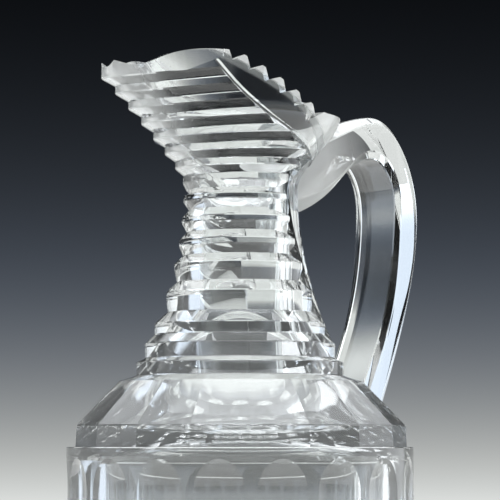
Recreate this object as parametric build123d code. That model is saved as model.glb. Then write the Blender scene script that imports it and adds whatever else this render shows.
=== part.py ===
from build123d import *
import os
from math import acos, atan, cos, degrees, pi, radians, sin, sqrt

# Cut-glass claret jug, all glass: a blown and cut body, and an applied strap handle.
# Millimetres, +Z up, origin at the centre of the base, lip towards -X, handle towards +X.
# The jug is the same on both sides of the plane y = 0.

# ---- fluted cylinder
body_radius = 57.0
body_height = 112.0          # the shelf at the top of the cylinder
base_chamfer = 1.6
flute_count = 18
flute_depth = 1.4
flute_hollow_radius = 40.0   # radius of the wheel that cuts the flutes
flute_foot = 5.5             # lower end of the flutes, above the base
flute_head_gap = 3.5         # plain band between the flutes and the shelf

# ---- panelled shoulder
band_radius = 54.8           # short upright facets above the shelf
band_height = 7.0
shoulder_radius = 40.2       # top of the sloping panels
shoulder_height = 14.6

# ---- prism-cut neck, from the lowest ring up
neck_radius = 18.7
neck_flare_radius = 36.2     # the lowest ring
neck_flare_power = 1.95
ring_pitches = [3.9, 5.9, 7.2, 10.9, 9.5, 7.9, 7.5, 7.2]   # from the shoulder, ring to ring
ring_faces = [4.4, 4.8, 3.6, 2.4, 2.2, 2.0, 1.8, 1.7]
neck_top_gap = 2.8           # from the highest ring to the foot of the mouth
ring_groove_depth = 2.1
ring_groove_place = 0.48      # deepest part of a groove, as a share of the way up to the next ring
ring_all_round = 2           # rings below the plain panel behind the handle
plain_panel_width = 35.0
plain_proud = 0.4            # the uncut glass stands this far outside the crests

# ---- step-cut mouth with its pouring lip
mouth_radius = 33.0
bowl_height = 25.5           # height in which the neck opens to the mouth's radius
step_count = 8
step_pitch = 4.5
bevel_height = 2.3           # sloping part of each step
step_groove_depth = 1.1
lip_reach = 52.6             # axis to the end of the lip
lip_power = 1.2
lip_tip_radius = 7.0
lip_tip_growth = 1.2         # rounder by this much at each step down
mouth_tilt = 6.0             # the top step rises towards the handle, in degrees
lip_floor = 3.7              # glass under the pouring channel at the tip

# ---- rim: a smooth arch over the lip, then a toothed sweep down to the handle
rim_lip_rise = 6.1           # upright end of the lip, above the first step
rim_dip = 2.1
rim_peak_rise = 9.1          # above the first step
rim_peak_place = -27.0
rim_sweep_start = -18.0
rim_sweep_slope = 0.63       # the toothed edge falls this much per mm towards the handle
rim_sweep_ease = 0.8         # and levels out this softly
rim_middle_drop = 3.9        # at the jug's axis, below the first step
rim_back_drop = 10.2         # at the handle, below the first step
plain_edge = [               # where the steps end, seen from the side: x, and height from the first step
    (2.6, -17.2), (-7.4, -12.7), (-13.7, -8.3), (-20.9, 0.0), (-24.8, 6.5)]
plain_edge_fall = 0.45       # per mm, beyond its lower end
plain_edge_lean = 0.6        # per mm of height, beyond its upper end
lip_bevel_end = -22.5
lip_bevel_place = -25.0      # x where the bevel beside the lip is lip_bevel_drop below the peak
lip_bevel_drop = 3.7
lip_bevel_slope = 0.45       # its lower edge falls this much per mm towards the lip
lip_bevel_lean = 0.38        # it leans in this much per mm of height
tooth_count = 6
tooth_first_angle = 74.1     # degrees from the handle to the nearest notch
tooth_pitch = 10.3           # degrees
tooth_depth = 2.8

# ---- inside
base_thickness = 11.0
body_wall = 8.0
shoulder_wall = 9.0
neck_wall = 5.3
mouth_wall = 5.3
inner_shoulder_drop = 6.0    # the inside starts to close this far below the shelf

# ---- star-cut underside
star_rays = 16
star_inner_radius = 9.0
star_outer_radius = 44.0
star_depth = 0.8

# ---- strap handle
handle_width = 26.0
handle_bevel = 2.2
handle_thickness = 9.6
handle_overhang = 7.9        # the bow stands this far outside the cylinder
handle_bow_drop = 9.4        # fullest part of the bow, below the foot of the mouth
handle_top_rise = 2.7        # top of the arch above the rim's back
handle_crook_reach = 13.0    # top of the arch, out from the mouth
handle_crook_depth = 13.8    # glass at the top, where the strap is folded down
handle_foot_rise = 8.0       # middle of the foot, above the upright facets
handle_foot_sink = 1.7       # middle of the foot, inside the sloping panels
handle_foot_lean = 20.0      # degrees from upright
handle_foot_bury = 9.0
tongue_end_drop = 9.4        # lower end of the tongue, below the foot of the mouth
tongue_bulge_inset = 2.5     # fullest part of the tongue's underside, inside the mouth's radius
tongue_bulge_rise = 0.4      # and above the foot of the mouth
tongue_bury = 6.5            # the tongue runs this far into the neck before it is cut to it
tongue_width = 20.0          # where the tongue ends on the neck
tongue_bevel = 6.0

# ---- heights that follow
shoulder_foot = body_height + band_height
shoulder_top = shoulder_foot + shoulder_height
ring_places = [sum(ring_pitches[: n + 1]) for n in range(len(ring_pitches))]
neck_height = sum(ring_pitches) + neck_top_gap
mouth_foot = shoulder_top + neck_height
steps_top = mouth_foot + (step_count - 1) * step_pitch + bevel_height
rim_lip_height = steps_top + rim_lip_rise
rim_peak_height = steps_top + rim_peak_rise
rim_middle_height = steps_top - rim_middle_drop
rim_back_height = steps_top - rim_back_drop
handle_bow = body_radius + handle_overhang
handle_bow_height = mouth_foot - handle_bow_drop
handle_top = rim_back_height + handle_top_rise
handle_crook = mouth_radius + handle_crook_reach
handle_foot_height = shoulder_foot + handle_foot_rise
tongue_end_height = mouth_foot - tongue_end_drop
tongue_bulge = mouth_radius - tongue_bulge_inset
tongue_bulge_height = mouth_foot + tongue_bulge_rise
clear = 12.0                 # how far cutting shapes run past the glass


def neck_envelope(z):
    """Radius of the ring crests at height z on the neck."""
    rest = max(0.0, (mouth_foot - z) / neck_height)
    return neck_radius + (neck_flare_radius - neck_radius) * rest**neck_flare_power


def bowl_envelope(z):
    """Radius of the mouth at height z, away from the lip."""
    part = min(1.0, max(0.0, (z - mouth_foot) / bowl_height))
    return neck_radius + (mouth_radius - neck_radius) * (1 - cos(pi * part)) / 2


def lip_envelope(z):
    """Reach of the mouth towards the lip at height z."""
    part = min(1.0, max(0.0, (z - mouth_foot) / (steps_top - mouth_foot)))
    return neck_radius - 1.0 + (lip_reach - neck_radius + 1.0) * part**lip_power


def turned(points):
    """Solid of revolution about the jug's axis from (radius, height) points."""
    outline = Polyline(*[(r, 0, z) for r, z in points], close=True)
    return revolve(make_face(outline), Axis.Z)


def teardrop(reach, radius, tip):
    """Round outline at the axis, drawn out to a rounded lip towards -X."""
    reach = max(reach, radius + 0.3)
    spacing = reach - tip
    turn = acos((radius - tip) / spacing)
    back_x, back_y = -radius * cos(turn), radius * sin(turn)
    lip_x, lip_y = -spacing - tip * cos(turn), tip * sin(turn)
    edges = [
        ThreePointArc((back_x, -back_y), (radius, 0), (back_x, back_y)),
        Line((back_x, back_y), (lip_x, lip_y)),
        ThreePointArc((lip_x, lip_y), (-reach, 0), (lip_x, -lip_y)),
        Line((lip_x, -lip_y), (back_x, -back_y)),
    ]
    return make_face(edges)


def step_plane(z):
    """Plane of a step at height z under the lip, rising towards the handle higher up."""
    part = max(0.0, (z - mouth_foot) / (steps_top - mouth_foot))
    reach = lip_envelope(z)
    tilt = radians(mouth_tilt * part)
    return Plane(
        origin=(0, 0, z + reach * sin(tilt) / cos(tilt)),
        x_dir=(cos(tilt), 0, sin(tilt)),
        z_dir=(-sin(tilt), 0, cos(tilt)),
    )


def layer(low, low_shape, high, high_shape):
    """Straight-sided layer of the mouth between two outlines."""
    return loft([step_plane(low) * low_shape, step_plane(high) * high_shape], ruled=True)


def fluted_cylinder():
    """Cylinder with hollow flutes that run out at both ends."""
    cylinder = turned([
        (0, 0), (body_radius - base_chamfer, 0), (body_radius, base_chamfer),
        (body_radius, body_height), (0, body_height),
    ])
    run_out = sqrt(2 * flute_hollow_radius * flute_depth)
    low = flute_foot + run_out
    high = body_height - flute_head_gap - run_out
    ball = flute_hollow_radius
    half = [
        Line((0, low - ball), (0, high + ball)),
        CenterArc((0, high), ball, 0, 90),
        Line((ball, high), (ball, low)),
        CenterArc((0, low), ball, 270, 90),
    ]
    wheel = revolve(Plane.XZ * make_face(half), Axis.Z)
    distance = body_radius - flute_depth + flute_hollow_radius
    for number in range(flute_count):
        angle = (number + 0.5) * 360 / flute_count
        cylinder -= Rot(0, 0, angle) * Pos(distance, 0, 0) * wheel
    return cylinder


def shoulder():
    """Flat panels above the shelf: a short upright row, then the long sloping row."""
    lean = 0.4
    panels = [
        (body_height, band_radius),
        (shoulder_foot, band_radius - lean),
        (shoulder_top, shoulder_radius),
    ]
    shapes = [Pos(0, 0, z) * RegularPolygon(r, flute_count) for z, r in panels]
    return loft(shapes[:2], ruled=True) + loft(shapes[1:], ruled=True)


def neck():
    """Neck with prism-cut rings."""
    points = [(0, shoulder_top), (shoulder_radius - 0.9, shoulder_top)]
    count = len(ring_places)
    for number in range(count):
        middle = shoulder_top + ring_places[number]
        half = ring_faces[number] / 2
        crest = neck_envelope(middle)
        points += [(crest, middle - half), (crest, middle + half)]
        top = middle + half
        next_foot = mouth_foot
        if number + 1 < count:
            next_foot = shoulder_top + ring_places[number + 1] - ring_faces[number + 1] / 2
        if number >= ring_all_round:
            place = top + (next_foot - top) * ring_groove_place
            points.append((neck_envelope(place) - ring_groove_depth, place))
    points += [(neck_radius - 1.2, mouth_foot), (0, mouth_foot)]
    return turned(points)


def mouth_steps():
    """The mouth as a stack of upright faces with a bevel under each."""
    stack = None
    for step in range(step_count):
        top = steps_top - (step - 1) * step_pitch - bevel_height
        foot = steps_top - step * step_pitch
        if step == 0:
            top = rim_peak_height + clear
        tip = lip_tip_radius + step * lip_tip_growth
        face = teardrop(lip_envelope(foot), bowl_envelope(foot), tip)
        below = foot - bevel_height
        next_foot = foot - step_pitch
        next_radius = bowl_envelope(max(next_foot, mouth_foot)) - step_groove_depth
        next_reach = lip_envelope(max(next_foot, mouth_foot))
        groove = teardrop(next_reach, next_radius, tip + lip_tip_growth)
        piece = layer(foot, face, top, face) + layer(below, groove, foot, face)
        stack = piece if stack is None else stack + piece
    return stack


def plain_back():
    """Uncut glass behind the handle and under the toothed rim, at the crests' radius."""
    start = shoulder_top + ring_places[ring_all_round - 1] + ring_faces[ring_all_round - 1] / 2
    top = rim_peak_height + clear
    parts = 6
    neck_heights = [start + (mouth_foot - start) * n / parts for n in range(parts + 1)]
    bowl_heights = [mouth_foot + bowl_height * n / parts for n in range(parts + 1)]
    upright = (0, 0, 1)
    outline = [
        Line((0, 0, start), (neck_envelope(start) + plain_proud, 0, start)),
        Spline(*[(neck_envelope(z) + plain_proud, 0, z) for z in neck_heights]),
        Spline(
            *[(bowl_envelope(z) + plain_proud, 0, z) for z in bowl_heights],
            tangents=[upright, upright],
        ),
        Polyline(
            (mouth_radius + plain_proud, 0, bowl_heights[-1]), (mouth_radius + plain_proud, 0, top),
            (0, 0, top), (0, 0, start),
        ),
    ]
    smooth = revolve(make_face(outline), Axis.Z)
    reach = mouth_radius + clear
    (low_x, low_z), (high_x, high_z) = plain_edge[0], plain_edge[-1]
    low = (reach, 0, steps_top + low_z - (reach - low_x) * plain_edge_fall)
    high = (high_x - (top - steps_top - high_z) * plain_edge_lean, 0, top)
    edge = Spline(
        low, *[(x, 0, steps_top + z) for x, z in plain_edge], high,
        tangents=[(-1, 0, plain_edge_fall), (-plain_edge_lean, 0, 1)],
    )
    zone = extrude(make_face([edge, Polyline(high, (reach, 0, top), low)]), amount=reach, both=True)
    panel = Box(reach, plain_panel_width, top - start, align=(Align.MIN, Align.CENTER, Align.MIN))
    return smooth & (zone + Pos(0, 0, start) * panel)


def rim_height(x):
    """Height of the toothed sweep of the rim at x: a straight fall that levels out at the handle."""
    fall = rim_middle_height - rim_sweep_slope * x
    half = (fall - rim_back_height) / 2
    return rim_back_height + half + sqrt(half**2 + rim_sweep_ease**2)


def rim_cutter():
    """Everything above the rim line, seen from the side."""
    top = rim_peak_height + clear * 3
    far = lip_reach + clear
    reach = mouth_radius + clear
    start = (rim_sweep_start, 0, rim_height(rim_sweep_start))
    arch = Spline(
        (-far, 0, rim_lip_height + rim_dip),
        (-lip_reach, 0, rim_lip_height),
        (-lip_reach + 7, 0, rim_lip_height - rim_dip),
        (rim_peak_place - 10.8, 0, rim_peak_height - 2.2),
        (rim_peak_place - 5.5, 0, rim_peak_height - 0.5),
        (rim_peak_place, 0, rim_peak_height),
        (rim_peak_place + 4.5, 0, rim_peak_height - 0.2),
        start,
        tangents=[(1, 0, -0.08), (1, 0, -0.5)],
    )
    parts = 14
    places = [rim_sweep_start + (reach - rim_sweep_start) * n / parts for n in range(1, parts + 1)]
    sweep = Spline(
        start, *[(x, 0, rim_height(x)) for x in places], tangents=[(1, 0, -rim_sweep_slope), (1, 0, 0)])
    closing = Polyline(sweep @ 1, (reach, 0, top), (-far, 0, top), (-far, 0, rim_lip_height + rim_dip))
    return extrude(make_face([arch, sweep, closing]), amount=reach, both=True)


def lip_bevel():
    """Glass pared away outside the rim beside the lip, above a line that falls to the lip."""
    start_height = rim_peak_height - lip_bevel_drop
    fall = atan(lip_bevel_slope)
    reach = lip_reach + clear
    rise = 12.0
    lean = rise * lip_bevel_lean
    low = Plane(
        origin=(0, 0, start_height - lip_bevel_place * lip_bevel_slope),
        x_dir=(cos(fall), 0, sin(fall)), z_dir=(-sin(fall), 0, cos(fall)),
    )
    spread = 1 / cos(fall)
    wide = teardrop(lip_reach * spread, mouth_radius + plain_proud, lip_tip_radius)
    narrow = teardrop(
        lip_reach * spread - 0.5, mouth_radius + plain_proud - lean, lip_tip_radius - lean * 0.6)
    kept = loft([low * wide, low.offset(rise) * narrow], ruled=True)
    around = low * Box(reach * 2.2, reach * 2, rise - 0.2, align=(Align.CENTER, Align.CENTER, Align.MIN))
    front = Pos(lip_bevel_end, 0, 0) * Box(
        reach, reach * 2, rim_peak_height + clear * 3, align=(Align.MAX, Align.CENTER, Align.MIN))
    return (around & front) - kept


def notch(angle):
    """Right-angled notch across the rim, square to its slope."""
    turn = radians(angle)
    x, y = mouth_radius * cos(turn), mouth_radius * sin(turn)
    step = 0.5
    slope = (rim_height(x + step) - rim_height(x - step)) / (2 * step)
    along = Vector(-sin(turn), cos(turn), -sin(turn) * slope).normalized()
    outward = Vector(cos(turn), sin(turn), 0)
    place = Plane(origin=(x, y, rim_height(x)), x_dir=along, z_dir=outward)
    size = tooth_depth + clear
    sign = 1 if place.y_dir.Z > 0 else -1
    vee = Polyline(
        (0, -sign * tooth_depth), (size, sign * (size - tooth_depth)),
        (-size, sign * (size - tooth_depth)), close=True,
    )
    return extrude(place * make_face(vee), amount=mouth_wall * 2, both=True)


def cavity():
    """The inside: body, neck bore and mouth."""
    inner = body_radius - body_wall
    bore = neck_radius - neck_wall
    close = body_height - inner_shoulder_drop
    neck_in = shoulder_top + ring_places[3]
    corner = 8.0
    outline = [
        Line((0, 0, base_thickness), (inner - corner, 0, base_thickness)),
        ThreePointArc(
            (inner - corner, 0, base_thickness),
            (inner - corner * (1 - sqrt(0.5)), 0, base_thickness + corner * (1 - sqrt(0.5))),
            (inner, 0, base_thickness + corner),
        ),
        Line((inner, 0, base_thickness + corner), (inner, 0, close)),
        Spline(
            (inner, 0, close),
            (shoulder_radius - shoulder_wall + 4, 0, shoulder_foot + 3),
            (neck_envelope(shoulder_top + ring_places[1]) - shoulder_wall, 0,
             shoulder_top + ring_places[0]),
            (bore, 0, neck_in),
            tangents=[(0, 0, 1), (0, 0, 1)],
        ),
        Line((bore, 0, neck_in), (bore, 0, mouth_foot + 1)),
        Line((bore, 0, mouth_foot + 1), (0, 0, mouth_foot + 1)),
        Line((0, 0, mouth_foot + 1), (0, 0, base_thickness)),
    ]
    inside = revolve(make_face(outline), Axis.Z)
    sections = []
    top = rim_peak_height + clear
    heights = [mouth_foot, mouth_foot + 8, mouth_foot + 15, mouth_foot + 22, steps_top, top]
    for z in heights:
        radius = max(bore, bowl_envelope(z - 1) - mouth_wall)
        rise = (steps_top + lip_floor - mouth_foot) / (lip_reach - bore)
        reach = max(radius + 0.4, bore + (z - mouth_foot) / rise)
        tip = max(lip_tip_radius - 3.6, min(radius - 0.5, bore - 2))
        tip = lip_tip_radius - 3.6 + (tip - lip_tip_radius + 3.6) * max(
            0.0, 1 - (z - mouth_foot) / (steps_top - mouth_foot))
        sections.append(Pos(0, 0, z) * teardrop(reach, radius, tip))
    return inside + loft(sections, ruled=True)


def star():
    """Rays cut into the underside round a plain centre."""
    length = star_outer_radius - star_inner_radius
    vee = Polyline(
        (0, -star_depth, -0.01), (0, 0, star_depth), (0, star_depth, -0.01), close=True)
    ray = Pos(star_inner_radius, 0, 0) * extrude(make_face(vee), amount=length, dir=(1, 0, 0))
    return [Rot(0, 0, n * 360 / star_rays) * ray for n in range(star_rays)]


def strap_section(outer, inner, width, bevel):
    """Bevelled cross-section of the strap between a point outside and one inside the bow."""
    span = (outer - inner).length
    place = Plane(origin=inner, x_dir=Vector(0, 1, 0), z_dir=(outer - inner).cross(Vector(0, 1, 0)))
    side = 1 if place.y_dir.dot(outer - inner) > 0 else -1
    half = width / 2
    cut = min(bevel, span / 2.2)
    corners = [
        (-half, cut), (-half, span - cut), (cut - half, span), (half - cut, span),
        (half, span - cut), (half, cut), (half - cut, 0), (cut - half, 0),
    ]
    return place * make_face(Polyline(*[(x, side * y) for x, y in corners], close=True))


def strap():
    """The handle's strap and tongue, before the jug's own outline is taken from it."""
    half = handle_thickness / 2
    lean = radians(handle_foot_lean)
    along = Vector(sin(lean), 0, cos(lean))
    across = Vector(cos(lean), 0, -sin(lean))
    slope = (band_radius - shoulder_radius) / shoulder_height
    foot = Vector(band_radius - slope * handle_foot_rise - handle_foot_sink, 0, handle_foot_height)
    outer_foot, inner_foot = foot + across * half, foot - across * half
    buried = along * -handle_foot_bury
    rise = handle_bow_height - handle_foot_height
    drop = handle_top - handle_bow_height
    inner_bow = handle_bow - handle_thickness
    under = handle_top - handle_crook_depth
    outer = Spline(
        outer_foot,
        Vector(outer_foot.X + (handle_bow - outer_foot.X) * 0.62, 0, handle_foot_height + rise * 0.45),
        Vector(handle_bow, 0, handle_bow_height),
        Vector(handle_bow - 5.6, 0, handle_top - drop * 0.31),
        Vector(handle_crook, 0, handle_top),
        tangents=[along, Vector(-1, 0, 0)],
    )
    inner = Spline(
        inner_foot,
        Vector(inner_foot.X + (inner_bow - inner_foot.X) * 0.66, 0, handle_foot_height + rise * 0.45),
        Vector(inner_bow, 0, handle_bow_height),
        Vector(inner_bow - 2.2, 0, under - (under - handle_bow_height) * 0.25),
        Vector(handle_crook, 0, under),
        tangents=[along, Vector(-1, 0, 0)],
    )
    tongue_outer = Spline(
        Vector(handle_crook, 0, handle_top),
        Vector(mouth_radius, 0, rim_back_height - 0.2),
        Vector(neck_radius + 1, 0, rim_back_height - 6.0),
        tangents=[Vector(-1, 0, 0), Vector(-1, 0, -0.6)],
    )
    tongue_inner = Spline(
        Vector(handle_crook, 0, under),
        Vector(tongue_bulge, 0, tongue_bulge_height),
        Vector(neck_radius - tongue_bury, 0, tongue_end_height),
        tangents=[Vector(-1, 0, 0), Vector(-1, 0, -0.35)],
    )
    sections = [strap_section(outer_foot + buried, inner_foot + buried, handle_width, handle_bevel)]
    parts = 10
    for number in range(parts + 1):
        share = number / parts
        sections.append(strap_section(
            outer.position_at(share), inner.position_at(share), handle_width, handle_bevel))
    parts = 4
    for number in range(1, parts + 1):
        share = number / parts
        sections.append(strap_section(
            tongue_outer.position_at(share), tongue_inner.position_at(share),
            handle_width - (handle_width - tongue_width) * share,
            handle_bevel + (tongue_bevel - handle_bevel) * share))
    return loft(sections)


def export(shape, name):
    """Write one sub-part."""
    shape.label = name
    export_step(shape, os.path.join("parts", name + ".step"))


os.makedirs("parts", exist_ok=True)

mouth = mouth_steps() + plain_back() - rim_cutter() - lip_bevel()
for side in (-1, 1):
    for number in range(tooth_count):
        mouth -= notch(side * (tooth_first_angle + number * tooth_pitch))

outside = fluted_cylinder() + shoulder() + neck() + mouth
jug_body = outside - cavity()
for ray in star():
    jug_body -= ray

handle = strap() - outside

export(jug_body, "jug_body")
export(handle, "strap_handle")
print("jug_body", len(jug_body.solids()), round(jug_body.volume), jug_body.bounding_box())
print("strap_handle", len(handle.solids()), round(handle.volume), handle.bounding_box())
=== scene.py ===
"""Cut-glass claret jug: fluted body, prism-cut neck, step-cut pouring mouth and strap handle.

The classes hold their sizes in millimetres; a mesh is made in metres, in the frame of the CAD model:
+Z up, origin at the centre of the base, the lip towards -X and the handle towards +X.
"""
import logging
import math
from dataclasses import dataclass, field
from enum import Enum
from typing import Any, Iterable, Sequence

import bmesh
import bpy
from mathutils import Euler, Matrix, Vector


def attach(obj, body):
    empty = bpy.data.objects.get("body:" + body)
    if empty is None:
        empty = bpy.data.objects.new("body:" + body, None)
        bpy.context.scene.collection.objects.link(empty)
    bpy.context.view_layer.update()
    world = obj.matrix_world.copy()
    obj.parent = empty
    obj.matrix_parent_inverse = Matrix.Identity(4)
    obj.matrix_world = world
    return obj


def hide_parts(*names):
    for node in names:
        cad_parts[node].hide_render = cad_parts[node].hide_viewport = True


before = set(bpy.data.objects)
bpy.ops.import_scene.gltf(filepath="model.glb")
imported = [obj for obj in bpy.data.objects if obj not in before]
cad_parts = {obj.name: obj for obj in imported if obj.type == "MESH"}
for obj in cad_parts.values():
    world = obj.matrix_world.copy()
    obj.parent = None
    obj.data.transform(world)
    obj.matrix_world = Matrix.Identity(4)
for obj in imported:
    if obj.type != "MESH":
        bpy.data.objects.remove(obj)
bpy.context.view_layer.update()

LOG = logging.getLogger("claret_jug")
MM = 0.001
Face = tuple[int, ...]
Pair = tuple[float, float]
Triple = tuple[float, float, float]
Inputs = dict[str | int, Any]
Piece = bpy.types.Object
Material = bpy.types.Material
Socket = bpy.types.NodeSocket
Sockets = bpy.types.NodeOutputs


class Operation(Enum):
    """How one solid acts on another."""

    CUT = "DIFFERENCE"
    JOIN = "UNION"
    KEEP = "INTERSECT"


# ---------------------------------------------------------------- nodes


@dataclass(frozen=True)
class Wiring:
    """Adds nodes to a tree and joins them."""

    tree: bpy.types.NodeTree

    def feed(self, node: bpy.types.Node, inputs: Inputs) -> None:
        """Set or link a node's inputs.

        Args:
            node: the node.
            inputs: a value or another node's output for each input, by its name or number.
        """
        for key, value in inputs.items():
            if isinstance(value, Socket):
                self.tree.links.new(value, node.inputs[key])
            else:
                node.inputs[key].default_value = value

    def add(self, kind: str, inputs: Inputs | None = None, **settings: str) -> Sockets:
        """Add a node.

        Args:
            kind: the node's type.
            inputs: what feed takes.
            settings: the node's own options.

        Returns:
            The node's outputs.
        """
        node = self.tree.nodes.new(kind)
        for name, value in settings.items():
            setattr(node, name, value)
        self.feed(node, inputs or {})
        return node.outputs

    def math(self, operation: str, *values: float | Socket) -> Socket:
        """Return the result of a Math node."""
        return self.add("ShaderNodeMath", dict(enumerate(values)), operation=operation)[0]

    def blend(self, factor: Socket, low: Socket | Triple, high: Triple, how: str = "MIX") -> Socket:
        """Blend two colours.

        Args:
            factor: the share of the second colour.
            low: the first colour.
            high: the second colour.
            how: the way of blending.

        Returns:
            The colour.
        """
        first = low if isinstance(low, Socket) else (*low, 1.0)
        return self.add("ShaderNodeMix", {"Factor": factor, "A": first, "B": (*high, 1.0)},
                        data_type="RGBA", blend_type=how)["Result"]

    def ramp(self, value: Socket, off: float, on: float, low: float = 0.0, high: float = 1.0,
             how: str = "LINEAR") -> Socket:
        """Turn one range of numbers into another and hold it at the ends.

        Args:
            value: the number.
            off: the value where the result is low.
            on: the value where the result is high.
            low: the result at off.
            high: the result at on.
            how: the kind of ramp.

        Returns:
            The result.
        """
        if off > on:
            off, on, low, high = on, off, high, low
        return self.add("ShaderNodeMapRange", {
            "Value": value, "From Min": off, "From Max": on, "To Min": low, "To Max": high,
        }, interpolation_type=how)["Result"]

    def mirrored(self, path: Sockets) -> Socket:
        """Return 1 for a ray that a surface has just mirrored, and 0 for one that went through it."""
        kept = self.math("SUBTRACT", 1.0, path["Is Transmission Ray"])
        return self.math("MULTIPLY", path["Is Glossy Ray"], kept)


@dataclass(frozen=True)
class CutRow:
    """Geometry Nodes that turn one cut into a row; a subclass says where the cuts go.

    finish is the material of the cut faces.
    """

    name: str
    finish: Material

    def inputs(self) -> dict[str, tuple[str, Any]]:
        """Return the type and the value of each named input."""
        return {"Finish": ("Material", self.finish)}

    def instances(self, wires: Wiring, given: Sockets) -> Socket:
        """Put the cuts in their places.

        Args:
            wires: adds to the tree.
            given: the tree's inputs.

        Returns:
            The instances.
        """
        raise NotImplementedError

    def repeat(self, host: Piece, shop: "Workshop") -> None:
        """Turn a host's geometry into the whole row.

        Args:
            host: the object that carries the tree.
            shop: makes the result plain mesh.
        """
        tree = bpy.data.node_groups.new(self.name, "GeometryNodeTree")
        tree.interface.new_socket("Host", in_out="INPUT", socket_type="NodeSocketGeometry")
        values = {}
        for label, (kind, value) in self.inputs().items():
            made = tree.interface.new_socket(label, in_out="INPUT", socket_type="NodeSocket" + kind)
            values[made.identifier] = value
        tree.interface.new_socket("Cuts", in_out="OUTPUT", socket_type="NodeSocketGeometry")
        wires = Wiring(tree)
        given = wires.add("NodeGroupInput")
        real = wires.add("GeometryNodeRealizeInstances", {0: self.instances(wires, given)})[0]
        dressed = wires.add("GeometryNodeSetMaterial", {"Geometry": real, "Material": given["Finish"]})[0]
        wires.add("NodeGroupOutput", {0: dressed})
        modifier = host.modifiers.new(self.name, "NODES")
        modifier.node_group = tree
        for identifier, value in values.items():
            modifier[identifier] = value
        shop.settle(host)


@dataclass(frozen=True)
class CutsRoundAxis(CutRow):
    """Repeats the host's own mesh round the jug's axis, from first_angle in degrees."""

    count: int
    first_angle: float = 0.0

    def inputs(self) -> dict[str, tuple[str, Any]]:
        """Return the type and the value of each named input."""
        return {
            **super().inputs(), "Count": ("Int", self.count),
            "First Angle": ("Float", math.radians(self.first_angle)),
            "Pitch": ("Float", math.radians(360.0 / self.count))}

    def instances(self, wires: Wiring, given: Sockets) -> Socket:
        """Put one cut for each number, turned about Z.

        Args:
            wires: adds to the tree.
            given: the tree's inputs.

        Returns:
            The instances.
        """
        points = wires.add("GeometryNodePoints", {"Count": given["Count"]})[0]
        index = wires.add("GeometryNodeInputIndex")[0]
        turn = wires.math("MULTIPLY_ADD", index, given["Pitch"], given["First Angle"])
        spin = wires.add("ShaderNodeCombineXYZ", {"Z": turn})[0]
        return wires.add("GeometryNodeInstanceOnPoints", {
            "Points": points, "Instance": given["Host"], "Rotation": spin})[0]


@dataclass(frozen=True)
class CutsOnPoints(CutRow):
    """Repeats a tool on the host's points, each turned by the point's own facing."""

    tool: Piece

    def inputs(self) -> dict[str, tuple[str, Any]]:
        """Return the type and the value of each named input."""
        return {**super().inputs(), "Tool": ("Object", self.tool)}

    def instances(self, wires: Wiring, given: Sockets) -> Socket:
        """Put the tool on each point.

        Args:
            wires: adds to the tree.
            given: the tree's inputs.

        Returns:
            The instances.
        """
        tool = wires.add("GeometryNodeObjectInfo", {"Object": given["Tool"]})["Geometry"]
        facing = wires.add(
            "GeometryNodeInputNamedAttribute", {"Name": "facing"}, data_type="FLOAT_VECTOR")["Attribute"]
        return wires.add("GeometryNodeInstanceOnPoints", {
            "Points": given["Host"], "Instance": tool, "Rotation": facing})[0]


# ---------------------------------------------------------------- solids


@dataclass(frozen=True)
class Outline:
    """A level outline of the jug: round, drawn out to the lip, or flat sided.

    reach is the distance from the axis to the lip, 0 for a round outline; tip is the lip's radius there.
    sides is the number of flat sides, 0 for a smooth outline. edge marks an arris that is softened.
    """

    height: float
    radius: float
    reach: float = 0.0
    tip: float = 7.0
    sides: int = 0
    edge: bool = False

    def distance(self, angle: float) -> float:
        """Return the distance from the axis to the outline.

        Args:
            angle: direction in radians, 0 towards the handle.

        Returns:
            The distance in millimetres.
        """
        if self.sides:
            half = math.pi / self.sides
            return self.radius * math.cos(half) / math.cos(angle % (2 * half) - half)
        if not self.reach:
            return self.radius
        least_reach = self.radius + 0.3
        spacing = max(self.reach, least_reach) - self.tip
        turn = math.acos((self.radius - self.tip) / spacing)
        away = abs(math.pi - angle % (2 * math.pi))
        if away >= turn:
            return self.radius
        corner = math.atan2(self.tip * math.sin(turn), spacing + self.tip * math.cos(turn))
        if away > corner:
            return self.radius / math.cos(turn - away)
        across = spacing * math.sin(away)
        return spacing * math.cos(away) + math.sqrt(max(0.0, self.tip**2 - across**2))

    def at(self, angle: float) -> Pair:
        """Return the (x, y) of the outline in a direction."""
        far = self.distance(angle)
        return far * math.cos(angle), far * math.sin(angle)

    def towards(self, other: "Outline", length: float) -> "Outline":
        """Return the outline that lies a short way from this one towards another.

        Args:
            other: the neighbouring outline.
            length: how far to go, in millimetres along the profile.

        Returns:
            A new outline without the edge mark.
        """
        most_of_side = 0.4
        span = math.dist((self.radius, self.height), (other.radius, other.height))
        share = min(most_of_side, length / span)
        mine, theirs = self.reach or self.radius, other.reach or other.radius
        reach = mine + (theirs - mine) * share if self.reach or other.reach else 0.0
        return Outline(
            self.height + (other.height - self.height) * share,
            self.radius + (other.radius - self.radius) * share,
            reach, self.tip + (other.tip - self.tip) * share, self.sides)


def softened(outlines: Sequence[Outline], width: float) -> list[Outline]:
    """Turn each marked arris into a narrow chamfer, as polished glass has.

    Args:
        outlines: the profile from the bottom up.
        width: the chamfer's reach along each side, in millimetres.

    Returns:
        The outlines with two in place of each marked one.
    """
    result: list[Outline] = []
    for number, here in enumerate(outlines):
        if here.edge and 0 < number < len(outlines) - 1:
            result += [here.towards(outlines[number - 1], width), here.towards(outlines[number + 1], width)]
        else:
            result.append(here)
    return result


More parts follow.
